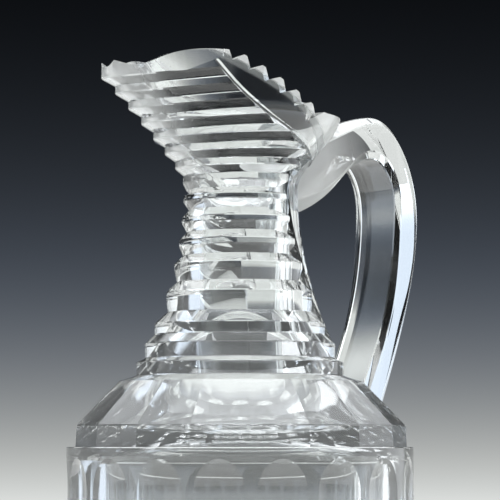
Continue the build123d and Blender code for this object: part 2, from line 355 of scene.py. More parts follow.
@dataclass(frozen=True)
class SmoothLine:
    """A cubic spline through (x, z) points in the jug's plane of symmetry, with its end directions."""

    points: tuple[Pair, ...]
    start: Pair
    end: Pair

    def drawn(self, parts: int) -> list[Pair]:
        """Return the places that divide the line evenly, by the length of its chords.

        Args:
            parts: the number of parts.

        Returns:
            The places in millimetres, from start to end.
        """
        knots = [0.0]
        for a, b in zip(self.points, self.points[1:]):
            knots.append(knots[-1] + math.dist(a, b))
        slopes = [self._slopes(axis, knots) for axis in (0, 1)]
        places: list[Pair] = []
        slack = 1e-9
        for number in range(parts + 1):
            whole = knots[-1] * (number / parts)
            piece = max(n for n in range(len(knots) - 1) if knots[n] <= whole + slack)
            width = knots[piece + 1] - knots[piece]
            t = (whole - knots[piece]) / width
            place = []
            for axis in (0, 1):
                a, b = self.points[piece][axis], self.points[piece + 1][axis]
                va, vb = slopes[axis][piece] * width, slopes[axis][piece + 1] * width
                place.append(
                    a * (2 * t**3 - 3 * t**2 + 1) + va * (t**3 - 2 * t**2 + t)
                    + b * (3 * t**2 - 2 * t**3) + vb * (t**3 - t**2))
            places.append((place[0], place[1]))
        return places

    def _slopes(self, axis: int, knots: Sequence[float]) -> list[float]:
        """Solve for the slope at each point that keeps the bend continuous.

        Args:
            axis: 0 for x, 1 for z.
            knots: the length of the chords up to each point.

        Returns:
            The slopes.
        """
        values = [point[axis] for point in self.points]
        count = len(values)
        rows = [(0.0, 1.0, 0.0, self.start[axis] / math.hypot(*self.start))]
        for n in range(1, count - 1):
            before, after = knots[n] - knots[n - 1], knots[n + 1] - knots[n]
            rows.append((
                after, 2 * (before + after), before,
                3 * ((values[n] - values[n - 1]) * after / before
                     + (values[n + 1] - values[n]) * before / after)))
        rows.append((0.0, 1.0, 0.0, self.end[axis] / math.hypot(*self.end)))
        upper, right = [0.0] * count, [0.0] * count
        for n, (low, middle, high, value) in enumerate(rows):
            base = middle - (low * upper[n - 1] if n else 0.0)
            upper[n] = high / base
            right[n] = (value - (low * right[n - 1] if n else 0.0)) / base
        for n in range(count - 2, -1, -1):
            right[n] -= upper[n] * right[n + 1]
        return right


@dataclass
class Workshop:
    """Makes closed meshes, and cuts and joins them."""

    columns: int = 216
    lip_columns: Pair = (155.0, 205.0)
    scrap: list[Piece] = field(default_factory=list)

    def angles(self) -> list[float]:
        """Return the directions of the grid's columns, closer together at the lip."""
        pitch = 360.0 / self.columns
        low, high = self.lip_columns
        places: list[float] = []
        for number in range(self.columns):
            place = number * pitch
            places.append(place)
            if low <= place <= high:
                places.append(place + pitch / 2)
        return [math.radians(place) for place in places]

    def helper(self, name: str, mesh: bpy.types.Mesh) -> Piece:
        """Put a helper object into the scene.

        Args:
            name: the object's name.
            mesh: its mesh.

        Returns:
            The object.
        """
        made = bpy.data.objects.new(name, mesh)
        bpy.context.scene.collection.objects.link(made)
        self.scrap.append(made)
        return made

    def points(self, name: str, places: Iterable[Vector], facings: Sequence[Euler]) -> Piece:
        """Make loose points, each with the turn of what goes there.

        Args:
            name: the object's name.
            places: the points in millimetres.
            facings: the turn at each point.

        Returns:
            The object.
        """
        mesh = bpy.data.meshes.new(name)
        mesh.from_pydata([tuple(place * MM) for place in places], [], [])
        facing = mesh.attributes.new("facing", "FLOAT_VECTOR", "POINT")
        for number, turn in enumerate(facings):
            facing.data[number].vector = tuple(turn)
        return self.helper(name, mesh)

    def solid(self, name: str, vertices: Iterable[Vector], faces: Iterable[Face]) -> Piece:
        """Make an object in metres from vertices in millimetres, with its faces outwards.

        Args:
            name: the object's name.
            vertices: places in millimetres.
            faces: corner numbers of each face.

        Returns:
            The object.
        """
        mesh = bpy.data.meshes.new(name)
        mesh.from_pydata([tuple(Vector(v) * MM) for v in vertices], [], list(faces))
        mesh.update()
        sheet = bmesh.new()
        sheet.from_mesh(mesh)
        bmesh.ops.recalc_face_normals(sheet, faces=sheet.faces)
        if sheet.calc_volume(signed=True) < 0:
            bmesh.ops.reverse_faces(sheet, faces=sheet.faces)
        sheet.to_mesh(mesh)
        sheet.free()
        return self.helper(name, mesh)

    def grid(self, name: str, rows: Sequence[Sequence[Vector]]) -> Piece:
        """Make a closed solid from rings of points, with a flat cap at each end.

        Args:
            name: the object's name.
            rows: rings of as many points each, from one end to the other.

        Returns:
            The object.
        """
        count = len(rows[0])
        vertices = [point for row in rows for point in row]
        faces: list[Face] = []
        for base in range(0, (len(rows) - 1) * count, count):
            for column in range(count):
                after = (column + 1) % count
                faces.append((base + column, base + after, base + count + after, base + count + column))
        faces.append(tuple(reversed(range(count))))
        faces.append(tuple(range((len(rows) - 1) * count, len(rows) * count)))
        return self.solid(name, vertices, faces)

    def turned(self, name: str, outlines: Sequence[Outline]) -> Piece:
        """Make a closed solid from level outlines.

        Args:
            name: the object's name.
            outlines: the outlines from the bottom up.

        Returns:
            The object.
        """
        angles = self.angles()
        return self.grid(name, [
            [Vector((*outline.at(angle), outline.height)) for angle in angles] for outline in outlines])

    def prism(self, name: str, line: Sequence[Pair], reach: float) -> Piece:
        """Make a prism across the jug from a closed side view.

        Args:
            name: the object's name.
            line: (x, z) corners.
            reach: half the prism's width across the jug.

        Returns:
            The object.
        """
        return self.grid(name, [[Vector((x, side * reach, z)) for x, z in line] for side in (-1, 1)])

    def combine(self, base: Piece, tool: Piece, how: Operation) -> None:
        """Cut, join or keep a solid with another one.

        Args:
            base: the solid that changes.
            tool: the solid it is cut or joined with.
            how: the operation.
        """
        modifier = base.modifiers.new("combine", "BOOLEAN")
        modifier.operation = how.value
        modifier.solver = "MANIFOLD"
        modifier.object = tool
        modifier.material_mode = "TRANSFER"
        self.settle(base)

    def settle(self, piece: Piece) -> None:
        """Turn a piece's modifiers into plain mesh.

        Args:
            piece: the piece, which keeps none of them.
        """
        graph = bpy.context.evaluated_depsgraph_get()
        mesh = bpy.data.meshes.new_from_object(
            piece.evaluated_get(graph), preserve_all_data_layers=True, depsgraph=graph)
        piece.modifiers.clear()
        piece.data = mesh

    def marked(self, piece: Piece, material: Material) -> None:
        """Give all faces of a piece one material.

        Args:
            piece: the piece.
            material: the material.
        """
        piece.data.materials.clear()
        piece.data.materials.append(material)
        for face in piece.data.polygons:
            face.material_index = 0

    def copy(self, piece: Piece, name: str) -> Piece:
        """Return a second object with its own copy of a piece's mesh."""
        return self.helper(name, piece.data.copy())

    def clear_away(self, *kept: Piece) -> None:
        """Remove every helper object.

        Args:
            kept: the finished pieces, which stay.
        """
        for piece in self.scrap:
            if piece not in kept:
                bpy.data.objects.remove(piece)
        self.scrap = []


# ---------------------------------------------------------------- the jug


@dataclass(frozen=True)
class BodySizes:
    """Sizes of the fluted cylinder and the panelled shoulder."""

    radius: float = 57.0
    height: float = 112.0
    base_chamfer: float = 1.6
    flutes: int = 18
    flute_depth: float = 1.4
    flute_wheel: float = 40.0
    flute_foot: float = 5.5
    flute_head_gap: float = 3.5
    band_radius: float = 54.8
    band_height: float = 7.0
    band_lean: float = 0.4
    shoulder_radius: float = 40.2
    shoulder_height: float = 14.6
    shoulder_ledge: float = 0.9
    arris: float = 0.3

    @property
    def shoulder_foot(self) -> float:
        """Height of the lower edge of the sloping panels."""
        return self.height + self.band_height

    @property
    def shoulder_top(self) -> float:
        """Height of the upper edge of the sloping panels."""
        return self.shoulder_foot + self.shoulder_height


@dataclass(frozen=True)
class NeckSizes:
    """Sizes of the prism-cut neck, ring by ring from the shoulder up."""

    radius: float = 18.7
    flare_radius: float = 36.2
    flare_power: float = 1.95
    pitches: tuple[float, ...] = (3.9, 5.9, 7.2, 10.9, 9.5, 7.9, 7.5, 7.2)
    faces: tuple[float, ...] = (4.4, 4.8, 3.6, 2.4, 2.2, 2.0, 1.8, 1.7)
    top_gap: float = 2.8
    groove_depth: float = 2.1
    groove_place: float = 0.48
    all_round: int = 2
    panel_width: float = 35.0
    proud: float = 0.4
    top_inset: float = 1.2
    top_overlap: float = 0.02
    arris: float = 0.22

    @property
    def height(self) -> float:
        """Height of the neck above the shoulder."""
        return sum(self.pitches) + self.top_gap

    def ring(self, number: int) -> float:
        """Return the height of a ring's middle above the shoulder."""
        return sum(self.pitches[: number + 1])


@dataclass(frozen=True)
class MouthSizes:
    """Sizes of the step-cut mouth, its lip and its rim.

    plain_edge holds (x, height over the steps' top) points of the line where the steps end, from the
    handle's side; arch holds points of the rim's highest part, measured from the peak.
    """

    radius: float = 33.0
    bowl_height: float = 25.5
    steps: int = 8
    pitch: float = 4.5
    bevel: float = 2.3
    groove_depth: float = 1.1
    lip_reach: float = 52.6
    lip_power: float = 1.2
    lip_inset: float = 1.0
    tip: float = 7.0
    tip_growth: float = 1.2
    tilt: float = 6.0
    lip_floor: float = 3.7
    lip_rise: float = 6.1
    lip_run: float = 7.0
    lip_slope: float = -0.08
    dip: float = 2.1
    peak_rise: float = 9.1
    peak_place: float = -27.0
    arch: tuple[Pair, ...] = ((-10.8, -2.2), (-5.5, -0.5), (0.0, 0.0), (4.5, -0.2))
    arch_slope: float = -0.5
    sweep_start: float = -18.0
    sweep_slope: float = 0.63
    sweep_ease: float = 0.8
    middle_drop: float = 3.9
    back_drop: float = 10.2
    plain_edge: tuple[Pair, ...] = (
        (2.6, -17.2), (-7.4, -12.7), (-13.7, -8.3), (-20.9, 0.0), (-24.8, 6.5))
    edge_fall: float = 0.45
    edge_lean: float = 0.6
    ridge_height: float = 0.5
    ridge_width: float = 1.5
    ridge_sink: float = 1.0
    ridge_span: float = 0.97
    bevel_end: float = -22.5
    bevel_place: float = -25.0
    bevel_drop: float = 3.7
    bevel_slope: float = 0.45
    bevel_lean: float = 0.38
    bevel_rise: float = 12.0
    bevel_pinch: float = 0.5
    tip_lean: float = 0.6
    teeth: int = 6
    tooth_angle: float = 74.1
    tooth_pitch: float = 10.3
    tooth_depth: float = 2.8
    arris: float = 0.25
    clear: float = 12.0

    @property
    def tool_reach(self) -> float:
        """Half the width of the tools that cut the mouth."""
        return self.radius + self.clear


@dataclass(frozen=True)
class InsideSizes:
    """Thickness of the glass and the shape of the inside.

    shoulder_ease is how far out and up the inside runs past the edge of the panels.
    """

    floor: float = 11.0
    body_wall: float = 8.0
    shoulder_wall: float = 9.0
    shoulder_ease: Pair = (4.0, 3.0)
    neck_wall: float = 5.3
    mouth_wall: float = 5.3
    tip_wall: float = 3.6
    channel_gap: float = 0.4
    channel_inset: float = 0.5
    channel_foot: float = 2.0
    bowl_lag: float = 1.0
    close_drop: float = 6.0
    corner: float = 8.0
    rays: int = 16
    ray_inner: float = 9.0
    ray_outer: float = 44.0
    ray_depth: float = 0.8


@dataclass(frozen=True)
class Jug:
    """The blown and cut body of the jug, in one piece of glass."""

    shop: Workshop
    glass: Material
    body: BodySizes = BodySizes()
    neck: NeckSizes = NeckSizes()
    mouth: MouthSizes = MouthSizes()
    inside: InsideSizes = InsideSizes()

    @property
    def mouth_foot(self) -> float:
        """Height where the neck ends and the mouth starts."""
        return self.body.shoulder_top + self.neck.height

    @property
    def steps_top(self) -> float:
        """Height of the foot of the highest upright face."""
        return self.mouth_foot + (self.mouth.steps - 1) * self.mouth.pitch + self.mouth.bevel

    @property
    def peak(self) -> float:
        """Height of the rim's highest point."""
        return self.steps_top + self.mouth.peak_rise

    @property
    def block_top(self) -> float:
        """Height of the uncut glass over the rim."""
        return self.peak + self.mouth.clear

    @property
    def tool_top(self) -> float:
        """Height where the tools that cut the rim end."""
        return self.peak + self.mouth.clear * 3

    @property
    def back(self) -> float:
        """Height of the rim at the handle."""
        return self.steps_top - self.mouth.back_drop

    # ---- lines that the outside follows

    def neck_line(self, height: float) -> float:
        """Return the radius of the rings' crests at a height."""
        rest = max(0.0, (self.mouth_foot - height) / self.neck.height)
        return self.neck.radius + (self.neck.flare_radius - self.neck.radius) * rest**self.neck.flare_power

    def bowl_line(self, height: float) -> float:
        """Return the radius of the mouth at a height, away from the lip."""
        part = min(1.0, max(0.0, (height - self.mouth_foot) / self.mouth.bowl_height))
        return self.neck.radius + (self.mouth.radius - self.neck.radius) * (1 - math.cos(math.pi * part)) / 2

    def lip_line(self, height: float) -> float:
        """Find the mouth's reach towards the lip.

        Args:
            height: the height.

        Returns:
            The reach in millimetres.
        """
        part = min(1.0, max(0.0, (height - self.mouth_foot) / (self.steps_top - self.mouth_foot)))
        near = self.neck.radius - self.mouth.lip_inset
        return near + (self.mouth.lip_reach - near) * part**self.mouth.lip_power

    def rim_line(self, x: float) -> float:
        """Find the height of the toothed sweep of the rim.

        Args:
            x: the place along the jug.

        Returns:
            The height in millimetres.
        """
        fall = self.steps_top - self.mouth.middle_drop - self.mouth.sweep_slope * x
        half = (fall - self.back) / 2
        return self.back + half + math.hypot(half, self.mouth.sweep_ease)

    def step_ends(self, parts: int) -> list[Pair]:
        """Return the line where the steps end and the plain glass starts, seen from the side.

        Args:
            parts: how many parts to draw it in.

        Returns:
            The line's places, which run out past the glass at both ends.
        """
        mouth = self.mouth
        reach, top = mouth.tool_reach, self.block_top
        (low_x, low_z), (high_x, high_z) = mouth.plain_edge[0], mouth.plain_edge[-1]
        low = (reach, self.steps_top + low_z - (reach - low_x) * mouth.edge_fall)
        high = (high_x - (top - self.steps_top - high_z) * mouth.edge_lean, top)
        places = [(x, self.steps_top + z) for x, z in mouth.plain_edge]
        return SmoothLine((low, *places, high), (-1, mouth.edge_fall), (-mouth.edge_lean, 1)).drawn(parts)

    # ---- outside

    def lower_outlines(self) -> list[Outline]:
        """Return the profile of the cylinder, the shoulder and the neck."""
        body, neck = self.body, self.neck
        lower = softened([
            Outline(0, body.radius - body.base_chamfer),
            Outline(body.base_chamfer, body.radius, edge=True),
            Outline(body.height, body.radius, edge=True),
            Outline(body.height, body.band_radius, sides=body.flutes),
            Outline(body.shoulder_foot, body.band_radius - body.band_lean, sides=body.flutes, edge=True),
            Outline(body.shoulder_top, body.shoulder_radius, sides=body.flutes, edge=True),
            Outline(body.shoulder_top, body.shoulder_radius - body.shoulder_ledge),
        ], body.arris)
        rings: list[Outline] = [lower[-1]]
        count = len(neck.pitches)
        for number in range(count):
            middle = body.shoulder_top + neck.ring(number)
            half = neck.faces[number] / 2
            crest = self.neck_line(middle)
            rings += [Outline(middle - half, crest, edge=True), Outline(middle + half, crest, edge=True)]
            if number >= neck.all_round:
                foot = self.mouth_foot
                if number + 1 < count:
                    foot = body.shoulder_top + neck.ring(number + 1) - neck.faces[number + 1] / 2
                top = middle + half
                place = top + (foot - top) * neck.groove_place
                rings.append(Outline(place, self.neck_line(place) - neck.groove_depth))
        rings.append(Outline(self.mouth_foot - neck.top_overlap, neck.radius - neck.top_inset))
        return lower[:-1] + softened(rings, neck.arris)

    def mouth_outlines(self) -> list[Outline]:
        """Return the stack of upright faces, each with a bevel under it."""
        sizes = self.mouth
        outlines: list[Outline] = []
        for step in reversed(range(sizes.steps)):
            foot = self.steps_top - step * sizes.pitch
            top = foot + sizes.pitch - sizes.bevel if step else self.block_top
            tip = sizes.tip + step * sizes.tip_growth
            under = max(foot - sizes.pitch, self.mouth_foot)
            outlines += [
                Outline(foot - sizes.bevel, self.bowl_line(under) - sizes.groove_depth,
                        self.lip_line(under), tip + sizes.tip_growth),
                Outline(foot, self.bowl_line(foot), self.lip_line(foot), tip, edge=True),
                Outline(top, self.bowl_line(foot), self.lip_line(foot), tip, edge=step > 0),
            ]
        return softened(outlines, sizes.arris)

    def on_step(self, outline: Outline, angle: float) -> Vector:
        """Return a point of an outline on its step's plane, which rises towards the handle.

        Args:
            outline: the outline.
            angle: direction in radians.

        Returns:
            The place in millimetres.
        """
        part = max(0.0, (outline.height - self.mouth_foot) / (self.steps_top - self.mouth_foot))
        tilt = math.radians(self.mouth.tilt * part)
        along, across = outline.at(angle)
        lift = self.lip_line(outline.height) * math.tan(tilt)
        return Vector((along * math.cos(tilt), across, outline.height + lift + along * math.sin(tilt)))

    def mouth_stack(self) -> Piece:
        """Build the mouth's stack of steps, open to no cut yet."""
        rows = [[self.on_step(outline, angle) for angle in self.shop.angles()]
                for outline in self.mouth_outlines()]
        return self.shop.grid("mouth_stack", rows)

    def plain_back(self) -> Piece:
        """Build the uncut glass behind the handle and under the toothed rim."""
        shop, neck, mouth = self.shop, self.neck, self.mouth
        last = neck.all_round - 1
        start = self.body.shoulder_top + neck.ring(last) + neck.faces[last] / 2
        top, reach = self.block_top, mouth.tool_reach
        neck_rows, bowl_rows, edge_parts = 26, 22, 48
        outlines = [
            Outline(z, self.neck_line(z) + neck.proud)
            for z in (start + (self.mouth_foot - start) * n / neck_rows for n in range(neck_rows))]
        outlines += [
            Outline(z, self.bowl_line(z) + neck.proud)
            for z in (self.mouth_foot + mouth.bowl_height * n / bowl_rows for n in range(bowl_rows + 1))]
        outlines.append(Outline(top, mouth.radius + neck.proud))
        smooth = shop.turned("plain_back", outlines)
        zone = shop.prism("plain_zone", [*self.step_ends(edge_parts), (reach, top)], reach)
        panel = shop.prism(
            "plain_panel", [(0, start), (reach, start), (reach, top), (0, top)], neck.panel_width / 2)
        shop.combine(zone, panel, Operation.JOIN)
        shop.combine(smooth, zone, Operation.KEEP)
        return smooth

    def mitre(self, side: int) -> Piece:
        """Build the sharp ridge along the ends of the steps.

        Args:
            side: 1 or -1, the side of the jug.

        Returns:
            The solid, which runs a little way into the glass.
        """
        sizes, parts = self.mouth, 96
        path: list[Vector] = []
        for x, z in self.step_ends(parts):
            far = self.bowl_line(z) + self.neck.proud
            if abs(x) < far * sizes.ridge_span:
                path.append(Vector((x, side * math.sqrt(far**2 - x**2), z)))
        rows = []
        for number, place in enumerate(path):
            ahead = path[min(number + 1, len(path) - 1)] - path[max(number - 1, 0)]
            outward = Vector((place.x, place.y, 0)).normalized()
            across = ahead.cross(outward).normalized()
            rows.append([
                place + outward * sizes.ridge_height, place + across * sizes.ridge_width / 2,
                place - outward * sizes.ridge_sink, place - across * sizes.ridge_width / 2])
        return self.shop.grid("mitre", rows)

    def above_rim(self) -> Piece:
        """Build the prism that cuts the stack off along the rim."""
        mouth, parts = self.mouth, 80
        lip = self.steps_top + mouth.lip_rise
        far, reach = mouth.lip_reach + mouth.clear, mouth.tool_reach
        line = SmoothLine((
            (-far, lip + mouth.dip), (-mouth.lip_reach, lip),
            (mouth.lip_run - mouth.lip_reach, lip - mouth.dip),
            *((mouth.peak_place + x, self.peak + z) for x, z in mouth.arch),
            (mouth.sweep_start, self.rim_line(mouth.sweep_start)),
        ), (1, mouth.lip_slope), (1, mouth.arch_slope)).drawn(parts)
        for n in range(1, parts + 1):
            x = mouth.sweep_start + (reach - mouth.sweep_start) * n / parts
            line.append((x, self.rim_line(x)))
        return self.shop.prism("above_rim", [*line, (reach, self.tool_top), (-far, self.tool_top)], reach)

    def lip_bevel(self) -> Piece:
        """Build what is pared away outside the rim beside the lip."""
        shop, mouth = self.shop, self.mouth
        fall, rise = math.atan(mouth.bevel_slope), mouth.bevel_rise
        # the kept glass runs past the tool at both ends, so that no two faces coincide
        below, short, hair = 0.4, 0.2, 0.001
        lean = rise * mouth.bevel_lean
        base = Vector((0, 0, self.peak - mouth.bevel_drop - mouth.bevel_place * mouth.bevel_slope))
        along = Vector((math.cos(fall), 0, math.sin(fall)))
        upward = Vector((-math.sin(fall), 0, math.cos(fall)))
        spread, radius = mouth.lip_reach / math.cos(fall), mouth.radius + self.neck.proud
        wide = Outline(0, radius, spread, mouth.tip)
        narrow = Outline(rise, radius - lean, spread - mouth.bevel_pinch, mouth.tip - lean * mouth.tip_lean)

        def ring(outline: Outline, height: float) -> list[Vector]:
            """Return an outline's points on the leaning plane."""
            places = (outline.at(angle) for angle in shop.angles())
            return [base + along * x + Vector((0, y, 0)) + upward * height for x, y in places]

        kept = shop.grid("lip_kept", [
            ring(wide, -below), ring(wide.towards(narrow, hair), 0.0), ring(narrow, rise)])
        reach, longer, wider = mouth.lip_reach + mouth.clear, 1.1, 1.2
        length, top = along * (reach * longer), upward * (rise - short)
        corners = [base - length, base + length, base + length + top, base - length + top]
        around = shop.prism("lip_bevel", [(p.x, p.z) for p in corners], reach)
        end, front = mouth.bevel_end, mouth.bevel_end - reach
        before = shop.prism("lip_front", [
            (front, 0), (end, 0), (end, self.tool_top), (front, self.tool_top)], reach * wider)
        shop.combine(around, before, Operation.KEEP)
        shop.combine(around, kept, Operation.CUT)
        return around

    def notches(self) -> Piece:
        """Build the row of right-angled notches that leaves the rim's teeth."""
        mouth = self.mouth
        size, depth = mouth.tooth_depth + mouth.clear, self.inside.mouth_wall * 2
        tool = self.shop.grid("notch", [
            [Vector((0, -mouth.tooth_depth, side)), Vector((size, size - mouth.tooth_depth, side)),
             Vector((-size, size - mouth.tooth_depth, side))] for side in (-depth, depth)])
        places, facings, near = [], [], 0.5
        for side in (-1, 1):
            for number in range(mouth.teeth):
                turn = math.radians(side * (mouth.tooth_angle + number * mouth.tooth_pitch))
                x, y = mouth.radius * math.cos(turn), mouth.radius * math.sin(turn)
                slope = (self.rim_line(x + near) - self.rim_line(x - near)) / (2 * near)
                along = Vector((-math.sin(turn), math.cos(turn), -math.sin(turn) * slope)).normalized()
                upward = Vector((math.cos(turn), math.sin(turn), 0)).cross(along)
                if upward.z < 0:
                    along, upward = -along, -upward
                places.append(Vector((x, y, self.rim_line(x))))
                facings.append(Matrix((along, upward, along.cross(upward))).transposed().to_euler())
        row = self.shop.points("notches", places, facings)
        CutsOnPoints("rim_notches", self.glass, tool).repeat(row, self.shop)
        return row

    def flutes(self) -> Piece:
        """Build the wheels that hollow the flutes, drawn finely only where they meet the glass."""
        body = self.body
        ball = body.flute_wheel
        run_out = math.sqrt(2 * ball * body.flute_depth)
        low = body.flute_foot + run_out
        high = body.height - body.flute_head_gap - run_out
        latitudes = [math.radians(a) for a in (-60, -40, -26, *(-20 + n * 1.25 for n in range(17)))]
        turns = [math.radians(t) for t in (
            0, 30, 60, 90, 120, *(144 + n * 1.5 for n in range(49)), 240, 270, 300, 330)]
        profile = [(ball * math.cos(a), low + ball * math.sin(a)) for a in latitudes]
        profile += [(ball * math.cos(a), high - ball * math.sin(a)) for a in reversed(latitudes)]
        distance = body.radius - body.flute_depth + ball
        wheel = self.shop.grid("flute_wheels", [
            [Vector((distance + r * math.cos(t), r * math.sin(t), z)) for t in turns] for r, z in profile])
        CutsRoundAxis("flute_row", self.glass, body.flutes, 180.0 / body.flutes).repeat(wheel, self.shop)
        return wheel

    def star(self) -> Piece:
        """Build the rays that are cut into the underside."""
        inside, below = self.inside, -0.01
        ray = self.shop.grid("star_rays", [
            [Vector((x, -inside.ray_depth, below)), Vector((x, 0, inside.ray_depth)),
             Vector((x, inside.ray_depth, below))] for x in (inside.ray_inner, inside.ray_outer)])
        CutsRoundAxis("star_row", self.glass, inside.rays).repeat(ray, self.shop)
        return ray

    def cavity(self) -> Piece:
        """Build the space inside the body, the neck and the mouth."""
        body, neck, mouth, inside = self.body, self.neck, self.mouth, self.inside
        inner, bore = body.radius - inside.body_wall, neck.radius - inside.neck_wall
        corner_rows, shoulder_rows, mouth_rows = 12, 40, 34
        outlines: list[Outline] = []
        for n in range(corner_rows + 1):
            turn = math.radians(90 * n / corner_rows)
            outlines.append(Outline(
                inside.floor + inside.corner * (1 - math.cos(turn)),
                inner - inside.corner * (1 - math.sin(turn))))
        out, up = inside.shoulder_ease
        shoulder = SmoothLine((
            (inner, body.height - inside.close_drop),
            (body.shoulder_radius - inside.shoulder_wall + out, body.shoulder_foot + up),
            (self.neck_line(body.shoulder_top + neck.ring(1)) - inside.shoulder_wall,
             body.shoulder_top + neck.ring(0)),
            (bore, body.shoulder_top + neck.ring(3))), (0, 1), (0, 1))
        outlines += [Outline(height, radius) for radius, height in shoulder.drawn(shoulder_rows)]
        top, thin = self.block_top, mouth.tip - inside.tip_wall
        rise = (self.steps_top + mouth.lip_floor - self.mouth_foot) / (mouth.lip_reach - bore)
        for n in range(mouth_rows + 1):
            height = self.mouth_foot + (top - self.mouth_foot) * n / mouth_rows
            radius = max(bore, self.bowl_line(height - inside.bowl_lag) - inside.mouth_wall)
            reach = max(radius + inside.channel_gap, bore + (height - self.mouth_foot) / rise)
            wide = max(thin, min(radius - inside.channel_inset, bore - inside.channel_foot))
            left = max(0.0, 1 - (height - self.mouth_foot) / (self.steps_top - self.mouth_foot))
            outlines.append(Outline(height, radius, reach, thin + (wide - thin) * left))
        return self.shop.turned("cavity", outlines)

    def outside(self) -> Piece:
        """Build the jug as a solid block of glass, cut on the outside only."""
        shop = self.shop
        stack = self.mouth_stack()
        for part in (self.plain_back(), self.mitre(-1), self.mitre(1)):
            shop.combine(stack, part, Operation.JOIN)
        for cut in (self.above_rim(), self.lip_bevel(), self.notches()):
            shop.combine(stack, cut, Operation.CUT)
        whole = shop.turned("jug", self.lower_outlines())
        shop.combine(whole, stack, Operation.JOIN)
        shop.combine(whole, self.flutes(), Operation.CUT)
        return whole

    def hollow(self, whole: Piece) -> None:
        """Cut the inside and the star under the base out of the block.

        Args:
            whole: the block, joined to the handle.
        """
        for cut in (self.cavity(), self.star()):
            self.shop.marked(cut, self.glass)
            self.shop.combine(whole, cut, Operation.CUT)


# ---------------------------------------------------------------- the handle


@dataclass(frozen=True)
class StrapSizes:
    """Sizes of the strap handle and its folded tongue.

    A swell is a point low on the bow, as shares of the way out and up to the bow's widest place. A turn is
    a point between there and the crook: how far in it lies, and the share of the height below the crook.
    """

    width: float = 26.0
    bevel: float = 2.2
    thickness: float = 9.6
    overhang: float = 7.9
    bow_drop: float = 9.4
    outer_swell: Pair = (0.62, 0.45)
    inner_swell: Pair = (0.66, 0.45)
    outer_turn: Pair = (5.6, 0.31)
    inner_turn: Pair = (2.2, 0.25)
    top_rise: float = 2.7
    crook_reach: float = 13.0
    crook_depth: float = 13.8
    foot_rise: float = 8.0
    foot_sink: float = 1.7
    foot_lean: float = 20.0
    foot_bury: float = 9.0
    tongue_drop: float = 9.4
    tongue_dip: float = 0.2
    tongue_end: Pair = (1.0, 6.0)
    tongue_slopes: Pair = (-0.6, -0.35)
    bulge_inset: float = 2.5
    bulge_rise: float = 0.4
    tongue_bury: float = 6.5
    tongue_width: float = 20.0
    tongue_bevel: float = 6.0
    softening: float = 0.35


